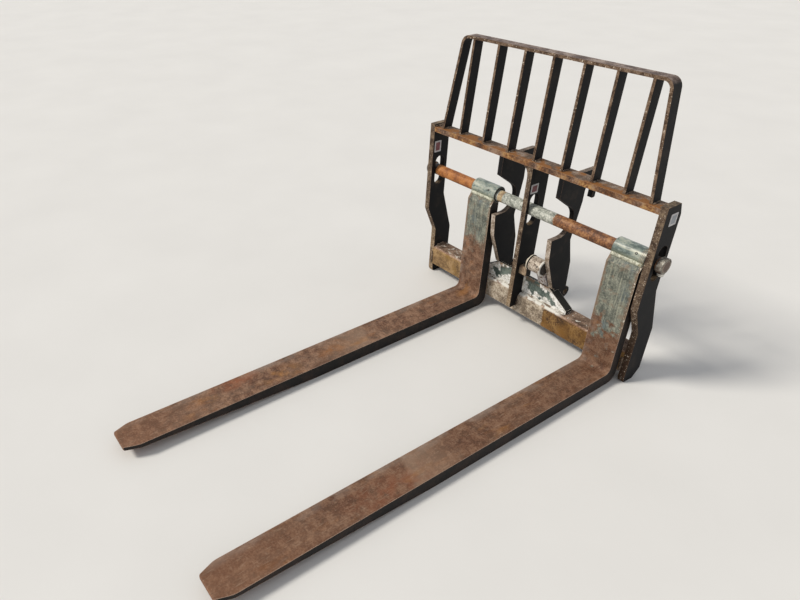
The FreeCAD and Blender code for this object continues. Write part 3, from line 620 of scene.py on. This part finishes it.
# Forged steel: what paint is left has a soft sheen, and the rust around it is rough and dry.
material, tree, place, facing, shader = new_material("forged steel with worn paint")
spot, on_right, off_middle = places_on_fork(tree, place)

# Rust on heels and blades, stained in broad streaks and a little deeper on the right fork.
brown, height = rust(tree, place, ("38261b", "6a4a38", "98775f"), 30.0, 7.0)
streak_place = add(tree, "Mapping", {0: place, 3: (2.5, 1.0, 2.5)})
stains = add(tree, "TexNoise",
             {"Vector": streak_place, "Scale": 1000 / STAIN_MM, "Detail": 6.0, "Roughness": 0.6})
stained = add(tree, "ValToRGB", {"Fac": stains},
              [(0.36, "563a2c"), (0.46, "70503b"), (0.56, "7c6452"), (0.66, "8a5a33")])
brown = add(tree, "Mix", {0: 0.40, 6: brown, 7: stained}, data_type="RGBA")
deeper = add(tree, "Math", {0: on_right, 1: 0.30}, operation="MULTIPLY")
brown = add(tree, "Mix", {0: deeper, 6: brown, 7: "5c3c28"}, data_type="RGBA")

# A duller stretch on each blade, with one clear slanting edge, and dust along its left side.
edge_at = add(tree, "MapRange", {0: on_right, 3: DUST_EDGE[0], 4: DUST_EDGE[1]})
slant = add(tree, "Math", {0: off_middle, 1: DUST_SLANT, 2: spot.outputs[1]},
            operation="MULTIPLY_ADD")
past_edge = add(tree, "Math", {0: slant, 1: edge_at}, operation="SUBTRACT")
runs = add(tree, "MapRange", {0: on_right, 3: -1.0, 4: 1.0})
past_edge = add(tree, "Math", {0: past_edge, 1: runs}, operation="MULTIPLY")
begun = add(tree, "MapRange", {0: past_edge, 1: 0.0, 2: 0.014, 4: 0.50})
fading = add(tree, "MapRange", {0: past_edge, 1: DUST_REACH, 2: 0.05})
dulled = add(tree, "Math", {0: begun, 1: fading}, operation="MULTIPLY")
brown = add(tree, "Mix", {0: dulled, 6: brown, 7: "937a66"}, data_type="RGBA")
far_edge = add(tree, "MapRange", {0: off_middle, 1: -0.030, 2: -0.058, 4: 0.55})
dust = specks(tree, streak_place, 90.0, 0.45, 0.62)
far_edge = add(tree, "Math", {0: far_edge, 1: dust}, operation="MULTIPLY")
brown = add(tree, "Mix", {0: far_edge, 6: brown, 7: "93857a"}, data_type="RGBA")

# Golden and red patches, and more orange towards the tips.
for shade, patch_x, patch_y, reach in PATCHES:
    from_patch = add(tree, "Mapping", {0: place, 1: (-patch_x, -PATCH_STRETCH * patch_y, 0.0),
                                       3: (1.0, PATCH_STRETCH, 0.0)})
    away = add(tree, "VectorMath", {0: from_patch}, operation="LENGTH")
    near = add(tree, "MapRange", {0: away.outputs["Value"], 1: reach, 2: 0.1 * reach, 4: 0.7})
    broken = specks(tree, place, 40.0, 0.38, 0.60)
    near = add(tree, "Math", {0: near, 1: broken}, operation="MULTIPLY")
    brown = add(tree, "Mix", {0: near, 6: brown, 7: shade}, data_type="RGBA")
tipward = add(tree, "MapRange", {0: spot.outputs[1], 1: TIP_FROM, 2: TIP_FULL, 4: 0.35})
brown = add(tree, "Mix", {0: tipward, 6: brown, 7: "845a3f"}, data_type="RGBA")
golden = specks(tree, streak_place, 210.0, 0.60, 0.72, 0.55)
brown = add(tree, "Mix", {0: golden, 6: brown, 7: "9c6a35"}, data_type="RGBA")

# Scuffs, and pale lines along the blades from dragging.
scuffs = add(tree, "TexNoise",
             {"Vector": place, "Scale": 1000 / SCUFF_MM, "Detail": 9.0, "Roughness": 0.8})
scuffs = add(tree, "MapRange", {0: scuffs, 1: 0.54, 2: 0.68, 4: 0.55})
brown = add(tree, "Mix", {0: scuffs, 6: brown, 7: "a0836c"}, data_type="RGBA")
dragged = add(tree, "Mapping", {0: place, 2: (0.0, 0.0, 0.05), 3: (1.0, 0.12, 1.0)})
dragged = specks(tree, dragged, 5.0, 0.58, 0.68, 0.28)
brown = add(tree, "Mix", {0: dragged, 6: brown, 7: "a99079"}, data_type="RGBA")

# Paint on the shanks: grey and bluish, lined dark and pale from top to bottom, dirty in spots,
# rubbed brown along both edges and chipped white along the right one.
grey, _ = rust(tree, place, ("4b4f49", "707368", "969789"), 42.0, 7.0)
bluish = specks(tree, place, 65.0, 0.54, 0.70)
grey = add(tree, "Mix", {0: bluish, 6: grey, 7: "657173"}, data_type="RGBA")
scratch_place = add(tree, "Mapping", {0: place, 3: (1.0, 1.0, 0.05)})
scratched = specks(tree, scratch_place, 6.0, 0.53, 0.61, 0.55)
grey = add(tree, "Mix", {0: scratched, 6: grey, 7: "474b45"}, data_type="RGBA")
line_place = add(tree, "Mapping", {0: place, 1: (0.013, 0.0, 0.0), 3: (1.0, 1.0, 0.07)})
pale_lines = specks(tree, line_place, 9.0, 0.54, 0.66, 0.50)
grey = add(tree, "Mix", {0: pale_lines, 6: grey, 7: "a4a491"}, data_type="RGBA")
dirty = specks(tree, place, 34.0, 0.56, 0.64, 0.6)
grey = add(tree, "Mix", {0: dirty, 6: grey, 7: "7b6a58"}, data_type="RGBA")
chips = specks(tree, place, 7.0, 0.58, 0.63)
by_right_edge = add(tree, "MapRange", {0: off_middle, 1: CHIPS_FROM, 2: CHIPS_FULL})
chips = add(tree, "Math", {0: chips, 1: by_right_edge}, operation="MULTIPLY")
off_middle = add(tree, "Math", {0: off_middle}, operation="ABSOLUTE")
ragged = specks(tree, place, 16.0, 0.3, 0.7, 0.012)
off_middle = add(tree, "Math", {0: off_middle, 1: ragged}, operation="ADD")
rubbed = add(tree, "MapRange", {0: off_middle, 1: RUBBED_FROM, 2: RUBBED_FULL, 4: 0.85})
grey = add(tree, "Mix", {0: rubbed, 6: grey, 7: "7a6350"}, data_type="RGBA")
grey = add(tree, "Mix", {0: chips, 6: grey, 7: "d3cdc0"}, data_type="RGBA")

# The paint gives out in a ragged line, the forks' sides are painted near black as shade, and all edges
# are worn pale.
ends_at = add(tree, "MapRange", {0: on_right, 3: PAINT_ENDS[0], 4: PAINT_ENDS[1]})
fades = add(tree, "MapRange", {0: on_right, 3: PAINT_FADES[0], 4: PAINT_FADES[1]})
drift = add(tree, "TexNoise",
            {"Vector": place, "Scale": 1000 / DRIFT_MM, "Detail": 8.0, "Roughness": 0.66})
drift = add(tree, "MapRange", {0: drift, 1: 0.3, 2: 0.7, 3: -1.0, 4: 1.0})
drift = add(tree, "Math", {0: drift, 1: fades}, operation="MULTIPLY")
up = add(tree, "Math", {0: spot.outputs[2], 1: drift}, operation="ADD")
up = add(tree, "Math", {0: up, 1: ends_at}, operation="SUBTRACT")
painted = add(tree, "MapRange", {0: up, 1: -0.030, 2: 0.030})
colour = add(tree, "Mix", {0: painted, 6: brown, 7: grey}, data_type="RGBA")
beside = facing_mask(tree, facing, 0, 0, 0.6, 0.85)
shaded, _ = rust(tree, place, ("0c0a08", "18120f", "2b201a"), 60.0, 7.0)
colour = add(tree, "Mix", {0: beside, 6: colour, 7: shaded}, data_type="RGBA")
worn = edge_wear(tree, place, 3.2, 0.02, 0.10)
chipped = add(tree, "Mix", {0: painted, 6: "ab9180", 7: "b0a08c"}, data_type="RGBA")
colour = add(tree, "Mix", {0: worn, 6: colour, 7: chipped}, data_type="RGBA")
finish_surface(tree, shader, colour, height, 0.5, (0.74, 0.52), rough_by=painted, gleam=0.35)
dress(material, "fork_left", "fork_right")


# Fork eyes. Thick tube across each shank's head. The paint is polished by handling, so it is the
# glossiest spot of the part: pale grey-green above and yellowish below, darker there as painted
# shade, with a pale painted highlight along the upper front, brown rings near the right end, and
# ends painted near black as shade.
HIGHLIGHT_TILT = 0.60  # how far the tube's wall faces up where its pale streak runs
RING_PITCH_MM, RING_FROM, RING_FULL = 5.2, 0.040, 0.046
# Paint rubbed smooth on thick tube, with one soft, pale painted highlight from end to end.
material, tree, place, facing, shader = new_material("polished paint on tube")
spot, on_right, off_middle = places_on_fork(tree, place)
around = add(tree, "Mapping", {0: place, 3: (0.55, 1.0, 1.0)})
grey, height = rust(tree, around, ("525f5b", "7b8781", "a6aa9c"), 26.0, 7.0)
# The lower side is yellowish, and darker there as painted shade.
shaded_low_side = facing_mask(tree, facing, 2, -1, -0.15, 0.35)
colour = add(tree, "Mix", {0: shaded_low_side, 6: grey, 7: "6a705c"}, data_type="RGBA")
turned = add(tree, "SeparateXYZ", {0: facing})
# Painted highlight: a cream streak where the wall faces part way up, strongest on the right fork.
cream = add(tree, "Math", {0: turned.outputs[2], 1: HIGHLIGHT_TILT}, operation="SUBTRACT")
cream = add(tree, "Math", {0: cream}, operation="ABSOLUTE")
cream = add(tree, "MapRange", {0: cream, 1: 0.20, 2: 0.03, 4: 0.8})
streaky = specks(tree, add(tree, "Mapping", {0: place, 3: (0.15, 1.0, 1.0)}), 10.0, 0.42, 0.56)
share = add(tree, "MapRange", {0: on_right, 3: 0.35, 4: 1.0})
for mask in (streaky, share):
    cream = add(tree, "Math", {0: cream, 1: mask}, operation="MULTIPLY")
colour = add(tree, "Mix", {0: cream, 6: colour, 7: "d3d2bd"}, data_type="RGBA")
rings = add(tree, "Math", {0: off_middle, 1: math.tau * 1000 / RING_PITCH_MM}, operation="MULTIPLY")
rings = add(tree, "Math", {0: rings}, operation="SINE")
rings = add(tree, "MapRange", {0: rings, 1: 0.1, 2: 0.5})
ringed = add(tree, "MapRange", {0: off_middle, 1: RING_FROM, 2: RING_FULL})
for mask in (ringed, on_right):
    rings = add(tree, "Math", {0: rings, 1: mask}, operation="MULTIPLY")
colour = add(tree, "Mix", {0: rings, 6: colour, 7: "7c6650"}, data_type="RGBA")
# Painted shade: the tube's end faces are near black.
at_end = facing_mask(tree, facing, 0, 0, 0.6, 0.8)
colour = add(tree, "Mix", {0: at_end, 6: colour, 7: "14110f"}, data_type="RGBA")
finish_surface(tree, shader, colour, height, 0.2, (0.5, 0.28))
dress(material, "fork_eye_left", "fork_eye_right")


# Welds. Each joint of the frame is a fillet weld with a ripple every few millimetres, brushed
# over with the frame's black and rubbed brown since. The aprons' and the bush's are chalky with
# primer, and each eye is laid on with one thick pass in front, cream with old paint.
RIPPLE, SWELL, TAPER = 0.0035, 1.13, 0.55


def weld_run(start, end, reach):
    """A fillet weld along a corner: a rod rippled along its length, its round side outwards."""
    start, end = Vector(start), Vector(end)
    length = (end - start).length
    rings = 2 * max(3, round(length / RIPPLE / 2))
    bpy.ops.object.select_all(action="DESELECT")
    bpy.ops.mesh.primitive_cylinder_add(vertices=12, radius=reach, depth=length)
    rod = bpy.context.object
    bpy.ops.object.mode_set(mode="EDIT")
    pick("edges", lambda e: abs(e.verts[0].co.z - e.verts[1].co.z) > 0.5 * length)
    bpy.ops.mesh.subdivide(number_cuts=rings - 1)
    pick("verts", lambda v: round((v.co.z / length + 0.5) * rings) % 2 == 1)
    bpy.ops.transform.resize(value=(SWELL, SWELL, 1.0))
    pick("verts", lambda v: abs(v.co.z) > 0.499 * length)
    bpy.ops.transform.resize(value=(TAPER, TAPER, 1.0))
    bpy.ops.object.mode_set(mode="OBJECT")
    rod.rotation_euler = (end - start).to_track_quat("Z", "Y").to_euler()
    rod.location = (start + end) / 2
    bpy.ops.object.transform_apply()
    return rod


# Weld metal under rubbed black: dark in its ripples, with small bright spots on them, and painted
# shade where it faces down.
material, tree, place, facing, shader = new_material("weld bead, brushed over")
bead, height = rust(tree, place, ("2c231d", "5b4a3c", "8a7662"), 18.0, 3.0)
bright = specks(tree, place, 6.0, 0.60, 0.66)
colour = add(tree, "Mix", {0: bright, 6: bead, 7: "b7a48e"}, data_type="RGBA")
shaded = facing_mask(tree, facing, 2, -1, 0.1, 0.5)
colour = add(tree, "Mix", {0: shaded, 6: colour, 7: "15110f"}, data_type="RGBA")
finish_surface(tree, shader, colour, height, 0.3, (0.8, 0.55), gleam=0.3)
bead_steel = material

TOP_BAR_TOP, TOP_BAR_UNDER = 0.704, 0.684
PLATE_X, HOOK_INNER, HOOK_OUTER, CENTRE_X = 0.511, 0.130, 0.150, 0.010
BEAM_FACE, BEAM_TOP, BEAM_BEND, BEAM_LOW = 0.0455, 0.133, 0.024, 0.047
RACK_PITCH, RACK_HALF_BAR, HOOP_FOOT = 0.125, 0.005, (0.467, 0.477)
RACK_FRONT, RACK_BACK, RACK_BEAD = 0.011, 0.051, 0.0045
FRONT_TO_BACK = (  # x, both ends' y, height, radius of the bead
    (PLATE_X, 0.004, 0.056, TOP_BAR_TOP, 0.0065),
    (PLATE_X, 0.004, 0.056, TOP_BAR_UNDER, 0.0050),
    (PLATE_X, 0.070, 0.116, BEAM_TOP, 0.0060),
    (HOOK_INNER, 0.008, 0.056, TOP_BAR_UNDER, 0.0050),
    (HOOK_OUTER, 0.008, 0.056, TOP_BAR_UNDER, 0.0050),
    (CENTRE_X, 0.018, 0.058, TOP_BAR_UNDER, 0.0045))
UP_THE_BEAM = ((PLATE_X, BEAM_LOW + 0.004, 0.0048), (CENTRE_X, 0.081, 0.0042))  # x, foot, radius
APRON_BEADS = (  # both ends' x and height, radius
    ((CENTRE_X, APRON_FOOT + 0.006), (CENTRE_X, APRON_HEAD - 0.004), 0.0045),
    ((0.016, APRON_FOOT), (0.226, APRON_FOOT), 0.0055))
HEAD_BEAD_Y, HEAD_BEAD_X, HEAD_BEAD = APRON_FACE + 0.002, (0.082, 0.122), 0.0040

rack_weld = weld_run((0, RACK_FRONT, TOP_BAR_TOP), (0, RACK_BACK, TOP_BAR_TOP), RACK_BEAD)
feet = [side * x for side in (-1, 1) for x in HOOP_FOOT]
feet += [k * RACK_PITCH + side * RACK_HALF_BAR for k in range(-3, 4) for side in (-1, 1)]
rack_welds = join_pieces([copy_moved(rack_weld, (x, 0, 0)) for x in feet])
bpy.data.objects.remove(rack_weld)
settle(rack_welds, "rack_foot_welds", "carriage", "rack_paint", bead_steel)

runs, apron_runs = [], []
for side in (-1, 1):
    for x, front, back, z, reach in FRONT_TO_BACK:
        runs.append(((side * x, front, z), (side * x, back, z), reach))
    for x, foot, reach in UP_THE_BEAM:
        runs.append(((side * x, BEAM_FACE, foot), (side * x, BEAM_FACE, BEAM_TOP - BEAM_BEND), reach))
    for (x1, z1), (x2, z2), reach in APRON_BEADS:
        apron_runs.append(((side * x1, APRON_FACE, z1), (side * x2, APRON_FACE, z2), reach))
runs.append((*((x, HEAD_BEAD_Y, APRON_HEAD) for x in HEAD_BEAD_X), HEAD_BEAD))
frame_welds = join_pieces([weld_run(*run) for run in runs])
settle(frame_welds, "frame_welds", "carriage", "frame_paint", bead_steel)

# Primer left on a bead: white, powdery and without gloss.
material, tree, place, facing, shader = new_material("chalky primer on weld")
chalk, height = rust(tree, place, ("a39d92", "d0ccc3", "ebe9e3"), 22.0, 4.0)
gone = specks(tree, place, 30.0, 0.54, 0.60)
colour = add(tree, "Mix", {0: gone, 6: chalk, 7: "78695a"}, data_type="RGBA")
finish_surface(tree, shader, colour, height, 0.3, (0.9, 0.7))
chalky_bead = material
apron_welds = join_pieces([weld_run(*run) for run in apron_runs])
settle(apron_welds, "apron_welds", "carriage", "frame_paint", chalky_bead)

BUSH_Y, BUSH_Z, BUSH_RADIUS, BUSH_BEAD = 0.022, 0.312, 0.030, 0.0042
BEAD_SINK, BEAD_SWELL, BEAD_STEPS = 0.003, 0.0007, 72
bpy.ops.object.select_all(action="DESELECT")
bpy.ops.mesh.primitive_torus_add(major_radius=BUSH_RADIUS, minor_radius=BUSH_BEAD,
                                 major_segments=BEAD_STEPS, minor_segments=10,
                                 location=(HOOK_INNER - BEAD_SINK, BUSH_Y, BUSH_Z),
                                 rotation=(0, math.pi / 2, 0))
bush_weld = bpy.context.object
bpy.ops.object.transform_apply()
bpy.ops.object.mode_set(mode="EDIT")
pick("verts", lambda v: round(math.atan2(v.co.z - BUSH_Z, v.co.y - BUSH_Y)
                              / math.tau * BEAD_STEPS) % 3 == 1)
bpy.ops.transform.shrink_fatten(value=BEAD_SWELL)
bpy.ops.object.mode_set(mode="OBJECT")
settle(bush_weld, "bush_weld", "carriage", "frame_paint", chalky_bead)

# A heavy bead under several coats: smooth and cream, with stains in its hollows.
material, tree, place, facing, shader = new_material("thick weld under old paint")
cream, height = rust(tree, place, ("7f7f6e", "a9a996", "d2d2c0"), 16.0, 4.0)
stain = specks(tree, place, 20.0, 0.55, 0.65)
colour = add(tree, "Mix", {0: stain, 6: cream, 7: "857a5c"}, data_type="RGBA")
finish_surface(tree, shader, colour, height, 0.3, (0.6, 0.4))
EYE_SEAM_Y, EYE_SEAM_Z, EYE_SEAM_REACH = 0.0165, 0.4935, 0.0078
HALF_SEAM = HALF_FORK - 0.001
for name, x in (("left", LEFT_FORK_X), ("right", RIGHT_FORK_X)):
    seam = weld_run((x - HALF_SEAM, EYE_SEAM_Y, EYE_SEAM_Z),
                    (x + HALF_SEAM, EYE_SEAM_Y, EYE_SEAM_Z), EYE_SEAM_REACH)
    settle(seam, "eye_weld_" + name, name + "_fork", "fork_paint", material)


# Grease points. A drilled hole with a low turned rim lets grease into each eye and into the
# bush. They are dark with old grease.
POINT_RADIUS, POINT_DEPTH, POINT_PROUD = 0.0045, 0.0050, 0.0006
RIM_WIDTH, RIM_RISE, HOLE_RADIUS, HOLE_DEPTH = 0.0008, 0.0004, 0.0022, 0.0032
EYE_AXIS = (SHAFT_Y, 0.5107)
# Old grease on steel: nearly black, and glossier than anything round it.
material, tree, place, facing, shader = new_material("greasy turned steel")
grease, height = rust(tree, place, ("0c0a09", "1a1511", "352b23"), 6.0, 2.0)
finish_surface(tree, shader, grease, height, 0.1, (0.5, 0.25))
for name, body, slot, (x, y, z), (axis_y, axis_z) in (
        ("left_eye", "left_fork", "fork_paint", (-0.1945, 0.0160, 0.5265), EYE_AXIS),
        ("right_eye", "right_fork", "fork_paint", (0.4675, 0.0160, 0.5265), EYE_AXIS),
        ("bush", "carriage", "frame_paint", (0.1130, -0.0061, 0.3225), (BUSH_Y, BUSH_Z))):
    outward = Vector((0, y - axis_y, z - axis_z)).normalized()
    bpy.ops.object.select_all(action="DESELECT")
    bpy.ops.mesh.primitive_cylinder_add(vertices=16, radius=POINT_RADIUS, depth=POINT_DEPTH)
    point = bpy.context.object
    bpy.ops.object.mode_set(mode="EDIT")
    pick("faces", lambda f: f.normal.z > 0.9)
    bpy.ops.mesh.inset(thickness=RIM_WIDTH)
    bpy.ops.transform.translate(value=(0, 0, RIM_RISE))
    bpy.ops.mesh.inset(thickness=POINT_RADIUS - HOLE_RADIUS - RIM_WIDTH)
    extrude(0, 0, -HOLE_DEPTH)
    bpy.ops.object.mode_set(mode="OBJECT")
    point.rotation_euler = outward.to_track_quat("Z", "Y").to_euler()
    point.location = Vector((x, y, z)) + outward * (POINT_PROUD - POINT_DEPTH / 2)
    bpy.ops.object.transform_apply()
    settle(point, "grease_point_" + name, body, slot, material)


# Label plates. Three small vinyl labels on the plates, blank here: a pale border and a plain
# field, dark red inside the frame and grey outside. Cut with rounded corners and stuck on.
LABEL_THICK, LABEL_BORDER, LABEL_CORNER = 0.0006, 0.0065, 0.0030
PLATE_OUTER = 0.536


def vinyl(name, shades):
    """Vinyl film faded by the weather: smooth and even, with a slight gloss."""
    material, tree, place, facing, shader = new_material(name)
    faded, height = rust(tree, place, shades, 12.0, 2.0)
    finish_surface(tree, shader, faded, height, 0.05, (0.5, 0.35))
    return material


pale_vinyl = vinyl("pale vinyl, weathered", ("adaaaa", "b9b6b7", "c6c4c4"))
red_vinyl = vinyl("dark red vinyl, faded", ("62272e", "6c2c33", "78383f"))
grey_vinyl = vinyl("grey vinyl, weathered", ("868a90", "8d9298", "959a9f"))
for name, x, (y_low, y_high), (z_low, z_high), field in (
        ("left", -PLATE_X, (0.007, 0.043), (0.592, 0.640), red_vinyl),
        ("centre", CENTRE_X, (0.014, 0.054), (0.577, 0.614), red_vinyl),
        ("right", PLATE_OUTER, (0.029, 0.067), (0.644, 0.686), grey_vinyl)):
    bpy.ops.object.select_all(action="DESELECT")
    bpy.ops.mesh.primitive_plane_add(size=1.0, rotation=(0, math.pi / 2, 0),
                                     location=(x, (y_low + y_high) / 2, (z_low + z_high) / 2))
    label = bpy.context.object
    label.scale = (z_high - z_low, y_high - y_low, 1)
    bpy.ops.object.transform_apply()
    bpy.ops.object.mode_set(mode="EDIT")
    bpy.ops.mesh.select_all(action="SELECT")
    extrude(LABEL_THICK, 0, 0)
    pick("faces", lambda f: f.calc_center_median().x > x + 0.9 * LABEL_THICK)
    bpy.ops.mesh.inset(thickness=LABEL_BORDER)
    shape = bmesh.from_edit_mesh(label.data)
    for face in shape.faces:
        face.material_index = 1 if face.select else 0
    bmesh.update_edit_mesh(label.data)
    pick("edges", lambda e: abs(e.verts[0].co.x - e.verts[1].co.x) > 0.5 * LABEL_THICK)
    bpy.ops.mesh.bevel(offset=LABEL_CORNER, segments=4, affect="EDGES")
    bpy.ops.mesh.select_all(action="SELECT")
    bpy.ops.mesh.normals_make_consistent(inside=False)
    bpy.ops.object.mode_set(mode="OBJECT")
    settle(label, "label_" + name, "carriage", "frame_paint", pale_vinyl, field)
